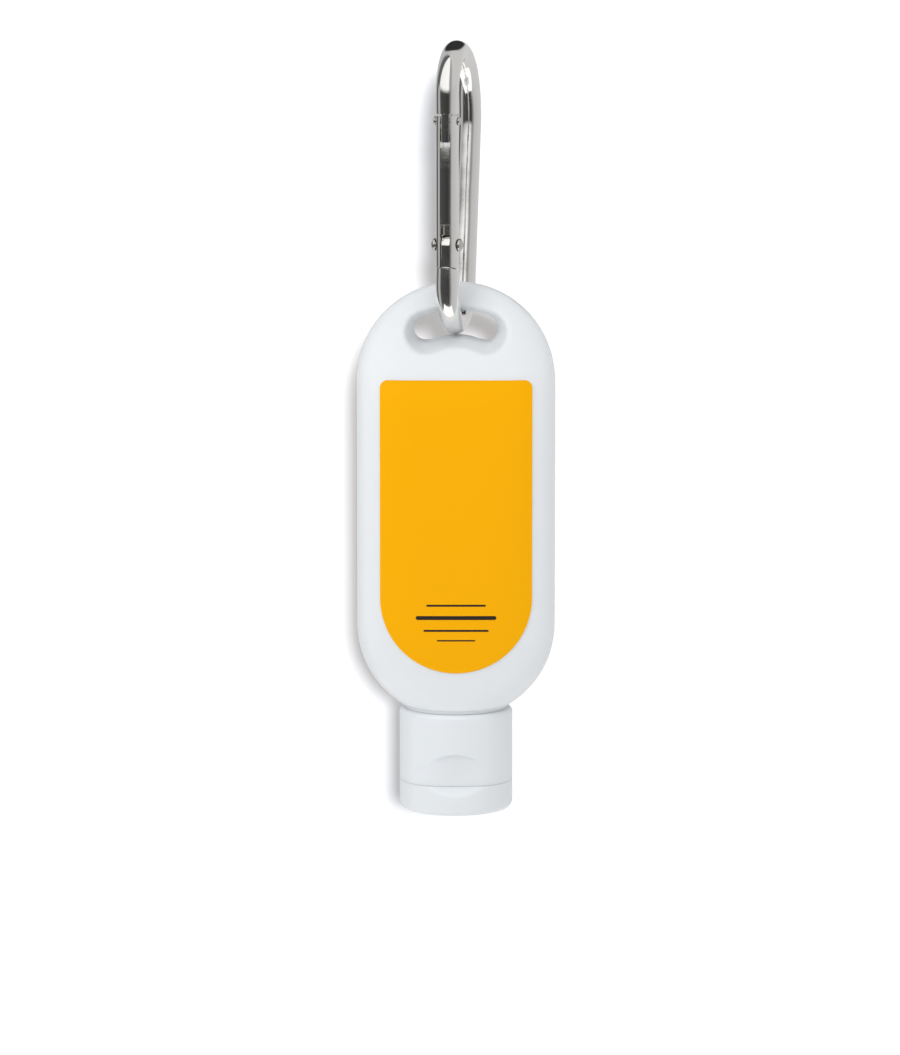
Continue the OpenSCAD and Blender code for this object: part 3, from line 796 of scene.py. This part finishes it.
# %% Make the body's outside
def make_body_shell(lip=0.25, inset=0.2, slot_reach=14, voxel=0.45):
    """The outside down to the shoulder's edge."""
    heights = body_heights(BODY_TOP - 0.05, SHOULDER, 3, 2)
    rings = [body_ring(z, 0, BODY_SPOKES) for z in heights]
    narrower = 1 - inset / SHOULDER_R
    rings.append([(x * narrower, y * narrower, SHOULDER - lip) for x, y, _ in rings[-1]])
    body = loft_by_extruding("bottle", rings)
    depths = [i / 2 for i in range(-2 * slot_reach, 2 * slot_reach + 1)]
    cut_with(body, loft_by_extruding("slot", [slot_ring(y) for y in depths]))
    apply_modifier(body, "REMESH", mode="VOXEL", voxel_size=voxel * MM)
    apply_modifier(body, "SMOOTH", factor=0.5, iterations=10)
    return body


bottle = make_body_shell()
print("body faces:", len(bottle.data.polygons))

# %% [markdown]
# ## Neck and thread
# The neck is hidden until the cap is unscrewed. Its thread is a ridge with a trapezoid
# section that climbs 3.175 mm in a turn. The section is extruded along the helix in small
# steps, and the ridge fades out at both ends, so that the cap's thread finds its way in.

# %% Make the neck and thread
NECK_R, THREAD_R, MOUTH_Z, MOUTH_R = 8.85, 9.85, -147.7, 7.0
THREAD_PITCH, THREAD_TURNS, THREAD_LOW = 3.175, 1.5, MOUTH_Z + 1.6


def thread_rings(root_r, crest_r, low, per_turn=48, start=10, fade_steps=8):
    """Sections of a thread that stands out of a neck, or in from a cap."""
    rings, last = [], int(THREAD_TURNS * per_turn)
    for i in range(last + 1):
        fade = min(1, (i + 1) / fade_steps, (last - i + 1) / fade_steps)
        a = radians(start + 360 * i / per_turn)
        z = low + THREAD_PITCH * i / per_turn
        crest = root_r + (crest_r - root_r) * fade
        side = 1 if crest_r > root_r else -1
        section = [(root_r, z - 0.95), (crest - 0.12 * side, z - 0.45), (crest, z - 0.33),
                   (crest, z + 0.33), (crest - 0.12 * side, z + 0.45), (root_r, z + 0.95)]
        rings.append(turned(section, a))
    return rings


def lathe(name, profile, count=96):
    """A turned solid through (radius, height) points in mm."""
    return loft_by_extruding(name, [round_ring(r, z, count) for r, z in profile])


def add_neck(body, lip_r=10.8, lip_end=SHOULDER - 0.86):
    """The neck hangs from a narrow lip that ends just above the cap."""
    neck = lathe("neck", [(0, SHOULDER + 1.5), (lip_r, SHOULDER + 1.5), (lip_r, lip_end + 0.05),
                          (lip_r - 0.05, lip_end), (9.6, lip_end), (NECK_R, SHOULDER - 1.3),
                          (NECK_R, MOUTH_Z + 0.35), (NECK_R - 0.1, MOUTH_Z + 0.1),
                          (NECK_R - 0.35, MOUTH_Z), (0, MOUTH_Z)])
    cut_with(body, neck, "UNION")
    thread = loft_by_extruding("thread", thread_rings(NECK_R - 0.4, THREAD_R, THREAD_LOW))
    cut_with(body, thread, "UNION")


def hollow_out(body, wall=1.0, cavity_top=-64.2):
    heights = body_heights(cavity_top, SHOULDER + wall, 6, 4)
    rings = [body_ring(z, -wall, BODY_SPOKES // 2) for z in heights]
    cut_with(body, loft_by_extruding("cavity", rings))
    bore = lathe("bore", [(0, SHOULDER + 3), (MOUTH_R, SHOULDER + 3), (MOUTH_R, MOUTH_Z + 0.3),
                          (MOUTH_R + 0.3, MOUTH_Z), (MOUTH_R + 0.3, MOUTH_Z - 1),
                          (0, MOUTH_Z - 1)], 72)
    cut_with(body, bore)


add_neck(bottle)
hollow_out(bottle)
finish_piece(bottle, "bottle", bottle_plastic)
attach(bottle, "bottle")
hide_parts("bottle_body")

# %% [markdown]
# ## The labels
# Each label is a film cut to a shield: two small corners above and a half circle below. It is
# modelled as a grid laid on the outline that the body's own sections give, a twentieth of a
# millimetre off the plastic, and then thickened outward. The back label is a copy of the front
# one, turned round.

# %% Outline of the labels, in mm
HALF_W, CORNER, ARC_Z = LABEL_HALF_W / MM, LABEL_CORNER / MM, LABEL_ARC_Z / MM
CORNER_Z = (LABEL_TOP - LABEL_CORNER) / MM


def label_half_w(z):
    if z > CORNER_Z:
        return HALF_W - CORNER + sqrt(max(0, CORNER ** 2 - (z - CORNER_Z) ** 2))
    return sqrt(max(0, HALF_W ** 2 - min(0, z - ARC_Z) ** 2))


def label_heights():
    corners = [CORNER_Z + CORNER * cos(a) for a in spread(0, pi / 2, 0.2)]
    lower = [ARC_Z - HALF_W * sin(a) for a in spread(0, pi / 2, 0.05)]
    return corners + spread(CORNER_Z, ARC_Z, 1.5) + lower + [ARC_Z - HALF_W]


def body_front(x, z, gap):
    """Y of the body's front, a gap outward."""
    power = body_power(z)
    share = abs(x) / (body_half_w(z) + gap)
    return -(body_half_d(z) + gap) * (1 - share ** power) ** (1 / power)


print("label rows:", len(label_heights()) - 1)

# %% Make the labels
def make_label(gap=0.05, film=0.15, columns=48):
    heights = label_heights()
    rows = len(heights) - 1
    bpy.ops.mesh.primitive_grid_add(x_subdivisions=columns, y_subdivisions=rows, size=1)
    label = bpy.context.object
    for vert in label.data.vertices:
        z = heights[round((0.5 - vert.co.y) * rows)]
        x = 2 * vert.co.x * label_half_w(z)
        vert.co = Vector((x, body_front(x, z, gap), z)) * MM
    merge_doubles(label)
    leave_edit()
    apply_modifier(label, "SOLIDIFY", thickness=film * MM, offset=1)
    close_up(label)
    return label


def place_label(label, name, turn):
    finish_piece(label, name, label_film, turn, angle=40)
    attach(label, "bottle")
    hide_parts(name.removesuffix("_film"))


front_label = make_label()
back_label = front_label.copy()
back_label.data = front_label.data.copy()
bpy.context.scene.collection.objects.link(back_label)
place_label(front_label, "front_label_film", 0)
place_label(back_label, "back_label_film", pi)

# %% [markdown]
# ## Cap and lid
# Both are injection moulded in one shot, with a thin strap behind that they fold on. They are
# turned shapes, so each is a ring that is extruded along its profile, up the outside and down
# the inside. In front, the thumb flat presses the ring's points back to a slanted plane. A soft
# maximum does it, so that the flat's edge comes out rounded, as on the real one.

# %% Sizes of the cap and lid, in mm
CAP_R, CAP_TOP, DECK_TOP, SEAM_Z = 11.9, -135.4, -148.7, -150.65
LID_TOP, LID_END, LID_ROUND = -150.69, -157.6, 1.7
THUMB_DEPTH, THUMB_H, BEVEL_H = 1.8, 7.1, 2.0
ORIFICE_R, NOZZLE_R, NOZZLE_END = 1.8, 3.2, SEAM_Z - 0.9
SKIRT_BORE_R = 10.07
CAP_SPOKES = 288
# The thumb flat is pressed in where Y is under FRONT_Y. Its depth at the seam and the loss of
# it upward are shares of THUMB_DEPTH, and the arch's sag and edge are shares of THUMB_H.
FRONT_Y, SCOOP_SOFTNESS, SCOOP_DEPTH, SCOOP_LOSS = -4, 0.9, 0.72, 0.3
ARCH_HALF_W, ARCH_SAG, ARCH_EDGE = 4.5, 0.16, 0.1
BEVEL_DEPTH = 0.9
print("cap radius and height in mm:", CAP_R, round(CAP_TOP - SEAM_Z, 2))

# %% Outlines of the cap and lid
def pressed_ring(r, z, press, softness=0.2):
    """A round ring whose front is pressed back to a flat, as far as the flat reaches."""
    ring = round_ring(r, z, CAP_SPOKES)
    if press is None:
        return ring
    pressed = []
    for x, y, z in ring:
        if y < FRONT_Y:
            flat_y, share = press(x, z)
            y += share * (soft_max(y, flat_y + CAP_R - r, softness) - y)
        pressed.append((x, y, z))
    return pressed


def thumb_scoop(x, z):
    """A shallow flat that ends in an arch above."""
    rise = (z - SEAM_Z) / THUMB_H
    arch = 1 - ARCH_SAG * (x / ARCH_HALF_W) ** 2 - rise
    share = min(1, max(0, arch / ARCH_EDGE))
    flat_y = -CAP_R + THUMB_DEPTH * (SCOOP_DEPTH - SCOOP_LOSS * rise)
    return flat_y, share * share * (3 - 2 * share)


def lid_bevel(x, z):
    """A plane that slants inward to the seam, all the way across."""
    return -CAP_R + THUMB_DEPTH * BEVEL_DEPTH * (1 - (LID_TOP - z) / BEVEL_H), 1


def arc(centre_r, centre_z, radius, start, end, steps):
    """Points along an arc, from a start to an end in degrees."""
    turns = [radians(start + (end - start) * i / steps) for i in range(steps + 1)]
    return [(centre_r + radius * cos(a), centre_z + radius * sin(a)) for a in turns]


print("thumb flat at the seam, in mm from the axis:", round(-thumb_scoop(0, SEAM_Z)[0], 2))

# %% Make the cap
def make_cap(foot=0.03, top=1, above_scoop=SEAM_Z + THUMB_H + 0.6):
    outside = arc(CAP_R - foot, SEAM_Z + foot, foot, -90, 0, 3)
    outside += [(CAP_R, z) for z in spread(SEAM_Z + 0.3, above_scoop, 0.2)]
    outside += [(CAP_R, z) for z in spread(above_scoop, CAP_TOP - top, 1)]
    outside += arc(CAP_R - top, CAP_TOP - top, top, 0, 90, 8)
    inside = [(SKIRT_BORE_R + 0.25, CAP_TOP), (SKIRT_BORE_R, CAP_TOP - 0.25),
              (SKIRT_BORE_R, DECK_TOP), (ORIFICE_R, DECK_TOP), (ORIFICE_R, NOZZLE_END + 0.15)]
    nozzle = [(ORIFICE_R + 0.15, NOZZLE_END), (NOZZLE_R - 0.55, NOZZLE_END),
              (NOZZLE_R - 0.35, NOZZLE_END + 0.2), (NOZZLE_R, SEAM_Z)]
    rings = [pressed_ring(r, z, thumb_scoop, SCOOP_SOFTNESS) for r, z in outside]
    rings += [pressed_ring(r, z, None) for r, z in inside + nozzle]
    cap = loft_by_extruding("cap", rings + rings[:1])
    thread = loft_by_extruding("cap_thread", thread_rings(
        SKIRT_BORE_R + 0.4, NECK_R + 0.22, THREAD_LOW + THREAD_PITCH / 2))
    cut_with(cap, thread, "UNION")
    return cap


cap = finish_piece(make_cap(), "screw_cap", cap_plastic)
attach(cap, "cap")
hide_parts("cap_base")

# %% Make the lid
def make_lid(plug_r=1.55, hollow_r=8.9, wall=1.2, rim=0.03, crown=0.65, plug_gap=0.975):
    floor_z, plug_top = LID_END + wall, DECK_TOP - plug_gap
    round_z = LID_END + crown + LID_ROUND
    outside = [(0, LID_END), (5.2, LID_END), (5.7, LID_END + 0.03), (6.2, LID_END + 0.15),
               (8.5, LID_END + 0.48)]
    outside += arc(CAP_R - LID_ROUND, round_z, LID_ROUND, -84, 0, 12)
    outside += [(CAP_R, z) for z in spread(round_z + 0.2, LID_TOP - rim, 0.2)]
    outside += arc(CAP_R - rim, LID_TOP - rim, rim, 0, 90, 3)
    inside = [(hollow_r + 0.15, LID_TOP), (hollow_r, LID_TOP - 0.15), (hollow_r, floor_z + 0.5),
              (hollow_r - 0.15, floor_z + 0.15), (hollow_r - 0.5, floor_z),
              (plug_r + 0.3, floor_z), (plug_r, floor_z + 0.3), (plug_r - 0.28, plug_top - 0.2),
              (plug_r - 0.45, plug_top), (0, plug_top)]
    rings = [pressed_ring(r, z, lid_bevel) for r, z in outside]
    rings += [pressed_ring(r, z, None) for r, z in inside]
    return loft_by_extruding("lid", rings)


lid = finish_piece(make_lid(), "flip_lid", cap_plastic)
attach(lid, "lid")
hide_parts("cap_lid")

# %% [markdown]
# ## The hinge strap
# The strap is a thin band behind the cap, thinner still across its middle, where it folds.
# Its section is extruded round the cap's wall. The real strap belongs to the cap above the fold
# and to the lid below it; this piece is attached to neither.

# %% Make the hinge strap
HINGE_Z, HINGE_HALF_W, HINGE_HALF_H = (SEAM_Z + LID_TOP) / 2, 4.0, 1.6
HINGE_IN, HINGE_OUT = CAP_R + 0.05, CAP_R + 0.55


def make_hinge(steps=32, fold_half_h=0.3, fold_depth=0.27, edge_cut=0.12):
    def outer(dz):
        fold = exp(-(dz / fold_half_h) ** 2)
        edge = max(0, abs(dz) - HINGE_HALF_H + edge_cut)
        return HINGE_OUT - fold_depth * fold - edge

    dzs = spread(-HINGE_HALF_H, HINGE_HALF_H, 0.1) + [HINGE_HALF_H]
    section = [(HINGE_IN, dz) for dz in dzs] + [(outer(dz), dz) for dz in reversed(dzs)]
    half_turn = asin(HINGE_HALF_W / HINGE_OUT)
    rings = []
    for i in range(steps + 1):
        a = half_turn * (2 * i / steps - 1)
        rings.append([(r * sin(a), r * cos(a), HINGE_Z + dz) for r, dz in section])
    return loft_by_extruding("hinge", rings)


hinge = finish_piece(make_hinge(), "hinge_strap", cap_plastic)
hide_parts("living_hinge")
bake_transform(hinge)

# %% [markdown]
# ## The hook and its gate
# The real hook is one rod bent cold, with a flat tongue milled at either end, and then plated.
# So a circle is extruded along the bent line, and the tongues are added to it. The gate is a
# straight length of the same rod, slotted at both ends. Every cut edge gets a small bevel,
# because on plated metal it is the edges that catch the light. All of it is made square to the
# axes, with the hook's depth along Y, and turned by 12 degrees at the end.

# %% Sizes of the hook, in mm
HOOK_TURN = radians(-12)
ROD_R, GATE_U, LEAN = 2.4, -8.8, 9.77
NOSE_V, GATE_TOP, RIVET_V, PIN_V = -9.8, -10.1, -36.9, -11.25
KNUCKLE_R, TONGUE_HALF, FORK_HALF = 4.9, 0.85, 1.05
UPPER_FORK, LOWER_FORK = 6.5, 4.3
# Bends of the rod: height of the centre, radius, and the outward direction at start and end
TOP_BENDS = (-6.4, 8.8, 180, 90), (-11.6, 14, 90, -LEAN)
LOW_BENDS = (-45.8, 8.2, -LEAN, -90), (-45.2, 8.8, -90, -180)
ROD_SPOKES = 64
# Cutters reach past the piece: a height above and one below it, and half a width
ABOVE, BELOW, PAST = 0, -50, 4


def bend(centre_v, radius, start, end, degrees=4):
    """Stations of the rod along an arc: across, up, and the outward direction in degrees."""
    steps = max(2, round(abs(end - start) / degrees))
    turns = [start + (end - start) * i / steps for i in range(steps + 1)]
    return [(radius * cos(radians(a)), centre_v + radius * sin(radians(a)), a)
            for a in turns]


def rod_ring(u, v, degrees, r):
    """A section of the rod that stands square to the bent line."""
    a = radians(degrees)
    return [(y, u + x * cos(a), v + x * sin(a))
            for x, y, _ in round_ring(r, 0, ROD_SPOKES)]


def hook_rod():
    """The bent rod from its nose over the top, down the back and up to the gate's foot."""
    nose = [(GATE_U, NOSE_V, 180, ROD_R - 0.2), (GATE_U, NOSE_V + 0.07, 180, ROD_R - 0.06),
            (GATE_U, NOSE_V + 0.2, 180, ROD_R)]
    line = bend(*TOP_BENDS[0]) + bend(*TOP_BENDS[1])[1:]
    line += bend(*LOW_BENDS[0]) + bend(*LOW_BENDS[1])[1:]
    line += [(GATE_U, RIVET_V - 2, -180)]
    stations = nose + [(*station, ROD_R) for station in line]
    return loft_by_extruding("hook", [rod_ring(*station) for station in stations])


print("stations on the first bend:", len(bend(*TOP_BENDS[0])))

# %% Helpers for milled ends
def box(low, high):
    """A block between two corners in mm."""
    centre = (Vector(low) + Vector(high)) / 2 * MM
    bpy.ops.mesh.primitive_cube_add(size=1, location=centre)
    block = bpy.context.object
    block.scale = (Vector(high) - Vector(low)) * MM
    bpy.ops.object.transform_apply(location=True, scale=True)
    return block


def cross_bar(v, r):
    """A round bar across the hook's plane, in line with the gate."""
    bpy.ops.mesh.primitive_cylinder_add(vertices=96, radius=r * MM, depth=2 * PAST * MM,
                                        location=Vector((0, GATE_U, v)) * MM,
                                        rotation=(0, pi / 2, 0))
    bpy.ops.object.transform_apply(location=True, rotation=True)
    return bpy.context.object


def gate_bar(low, high, r):
    """An upright round bar in line with the gate."""
    rings = [[(x, GATE_U + y, z) for x, y, z in round_ring(r, v, ROD_SPOKES)]
             for v in (low, high)]
    return loft_by_extruding("bar", rings)


def plate(outline, half_t):
    """A flat plate in the hook's plane, from (across, up) points."""
    return loft_by_extruding("plate", [[(w, GATE_U + u, v) for u, v in outline]
                                       for w in (-half_t, half_t)])


def break_edges(piece, width, degrees=30):
    """A small rounded bevel on every edge sharper than an angle."""
    apply_modifier(piece, "BEVEL", width=width * MM, segments=3, limit_method="ANGLE",
                   angle_limit=radians(degrees), use_clamp_overlap=True)
    close_up(piece)

# %% Make the tongues
def nose_tongue():
    """A flat with a notch behind, in which the gate's pin rests."""
    low, past, notch_r = GATE_TOP - UPPER_FORK + 1, 3, TONGUE_HALF
    tongue = gate_bar(low, NOSE_V + 1, ROD_R - 0.3)
    cut_with(tongue, box((-TONGUE_HALF, GATE_U - past, low - 1),
                         (TONGUE_HALF, GATE_U + past, ABOVE)), "INTERSECT")
    cut_with(tongue, cross_bar(PIN_V, notch_r))
    cut_with(tongue, box((-past, GATE_U, PIN_V - notch_r),
                         (past, GATE_U + past, PIN_V + notch_r)))
    break_edges(tongue, 0.14)
    return tongue


def hinge_tongue():
    """Round in front, where it shows in the gate's fork, and flat where the plunger rests."""
    top, half_w, front_r = RIVET_V + 2, 1.9, 2.2
    outline = [(-half_w, RIVET_V - KNUCKLE_R - 1), (half_w, RIVET_V - KNUCKLE_R - 1),
               (half_w, top - 0.9), (half_w - 0.25, top - 0.3), (half_w - 0.8, top)]
    outline += arc(front_r - half_w, top - front_r, front_r, 90, 180, 10)
    tongue = plate(outline, TONGUE_HALF + 0.1)
    cut_with(tongue, cross_bar(RIVET_V, 0.82))
    break_edges(tongue, 0.2)
    return tongue

# %% Make the hook
def make_hook():
    hook = hook_rod()
    cut_with(hook, cross_bar(RIVET_V, KNUCKLE_R + 0.2))
    break_edges(hook, 0.18, 40)
    cut_with(hook, nose_tongue(), "UNION")
    cut_with(hook, hinge_tongue(), "UNION")
    return hook


hook = finish_piece(make_hook(), "hook_rod", nickel, HOOK_TURN)
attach(hook, "hook")
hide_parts("carabiner_frame")

# %% Make the gate
SPRING_BORE_R, SPRING_BORE_TOP = 1.25, -22


def make_gate():
    gate = gate_bar(RIVET_V - KNUCKLE_R, GATE_TOP, ROD_R)
    round_foot = arc(0, RIVET_V, KNUCKLE_R, 0, -180, 48)
    keep = [(-5, GATE_TOP + 1), *reversed(round_foot), (5, GATE_TOP + 1)]
    cut_with(gate, plate(keep, PAST), "INTERSECT")
    slot_top, slot_low = GATE_TOP - UPPER_FORK, RIVET_V + LOWER_FORK
    for low, high in ((slot_top, ABOVE), (BELOW, slot_low)):
        cut_with(gate, box((-FORK_HALF, GATE_U - PAST, low), (FORK_HALF, GATE_U + PAST, high)))
    break_edges(gate, 0.16)
    cut_with(gate, gate_bar(slot_low - 1, SPRING_BORE_TOP, SPRING_BORE_R))
    cut_with(gate, cross_bar(RIVET_V, 0.85))
    cut_with(gate, cross_bar(PIN_V, 0.66))
    return gate


gate = finish_piece(make_gate(), "gate_bar", nickel, HOOK_TURN)
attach(gate, "gate")
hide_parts("gate")

# %% [markdown]
# ## The gate's spring
# A coil of drawn wire in the gate's bore pushes the plunger down. The wire's section is
# extruded up a helix. The real spring shortens as the gate opens; this piece keeps the CAD
# spring's length and moves with the gate.

# %% Make the spring
WIRE_R, COILS, PLUNGER_TRAVEL = 0.175, 8, 1.06
spring_low, spring_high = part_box("gate_spring")


def make_spring(per_turn=24, wire_points=10):
    """A helix between the CAD spring's ends, still square to the axes."""
    coil_r = (spring_high.x - spring_low.x) / 2 / MM - WIRE_R
    first, last = spring_low.z / MM + WIRE_R, spring_high.z / MM - WIRE_R
    rings = []
    for i in range(COILS * per_turn + 1):
        a = 2 * pi * i / per_turn
        z = first + (last - first) * i / (COILS * per_turn)
        section = [(coil_r + x, z + y) for x, y, _ in round_ring(WIRE_R, 0, wire_points)]
        rings.append(turned(section, a, GATE_U))
    return loft_by_extruding("spring", rings)


spring = finish_piece(make_spring(), "coil_spring", spring_steel, HOOK_TURN)
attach(spring, "gate")
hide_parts("gate_spring")
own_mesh(spring)

# %% [markdown]
# ## Pieces that keep their CAD mesh
# The gate's rivet, pin and plunger are exact in the CAD, and so are the lotion and the liner.
# Each gets its finish in the slot that the record names.

# %% Give the CAD pieces their finishes
FINISHES = {"gate_rivet": rivet_steel, "latch_pin": rivet_steel, "spring_plunger": brass,
            "lotion": lotion_cream, "sealing_washer": foam}
for node, finish in FINISHES.items():
    for material_slot in bpy.data.objects[node].material_slots:
        material_slot.material = finish
print("finished CAD pieces:", len(FINISHES))
